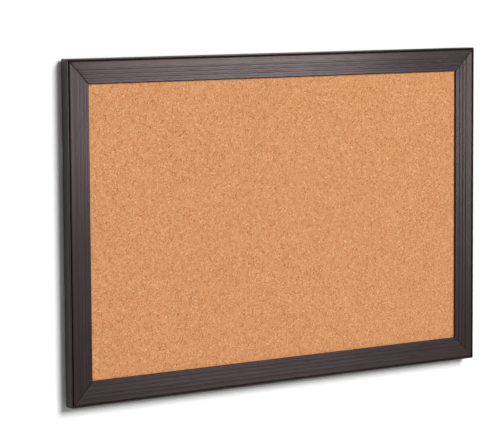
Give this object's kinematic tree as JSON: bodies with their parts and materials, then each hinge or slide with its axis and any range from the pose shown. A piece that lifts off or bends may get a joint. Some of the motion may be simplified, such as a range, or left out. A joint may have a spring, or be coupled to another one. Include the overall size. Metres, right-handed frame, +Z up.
{
  "type": "cork notice board",
  "caption": "Landscape cork notice board in a dark timber frame of reeded, mitred moulding, hung from D rings that swing on its back.",
  "frame": {"origin": "middle of the top rail's flat back face, the face that is held against the wall", "axes": "+X to the viewer's right along the board's length, +Y out of the back towards the wall, so the cork faces -Y, and +Z up"},
  "size_m": [0.914, 0.0268, 0.61],
  "materials": {
    "frame_timber": "satin espresso stain",
    "cork": "matte agglomerated cork",
    "softboard": "matte wood fibre",
    "hardboard": "smooth brown hardboard",
    "plated_steel": "bright zinc",
    "bumper_rubber": "matte"
  },
  "bodies": {
    "board": {"top_rail": "frame_timber", "bottom_rail": "frame_timber", "left_stile": "frame_timber", "right_stile": "frame_timber", "cork_sheet": "cork", "fibreboard_core": "softboard", "backing_board": "hardboard", "v_nail_bottom_left_1": "plated_steel", "v_nail_bottom_left_2": "plated_steel", "v_nail_bottom_right_1": "plated_steel", "v_nail_bottom_right_2": "plated_steel", "v_nail_top_right_1": "plated_steel", "v_nail_top_right_2": "plated_steel", "v_nail_top_left_1": "plated_steel", "v_nail_top_left_2": "plated_steel", "tab_bottom_1": "plated_steel", "tab_bottom_2": "plated_steel", "tab_bottom_3": "plated_steel", "tab_bottom_4": "plated_steel", "tab_top_1": "plated_steel", "tab_top_2": "plated_steel", "tab_top_3": "plated_steel", "tab_top_4": "plated_steel", "tab_left_1": "plated_steel", "tab_left_2": "plated_steel", "tab_right_1": "plated_steel", "tab_right_2": "plated_steel", "hanger_strap_left": "plated_steel", "hanger_strap_right": "plated_steel", "screw_left_1": "plated_steel", "screw_left_2": "plated_steel", "screw_right_1": "plated_steel", "screw_right_2": "plated_steel", "bumper_left": "bumper_rubber", "bumper_right": "bumper_rubber"},
    "ring_left": {"ring_left": "plated_steel"},
    "ring_right": {"ring_right": "plated_steel"}
  },
  "joints": [
    {"name": "ring_left_swing", "type": "hinge", "parent": "board", "child": "ring_left", "pos_m": [-0.4392, 0.0026, -0.1322], "axis": [1, 0, 0], "range_deg": [0, 175]},
    {"name": "ring_right_swing", "type": "hinge", "parent": "board", "child": "ring_right", "pos_m": [0.4392, 0.0026, -0.1322], "axis": [1, 0, 0], "range_deg": [0, 175]}
  ]
}
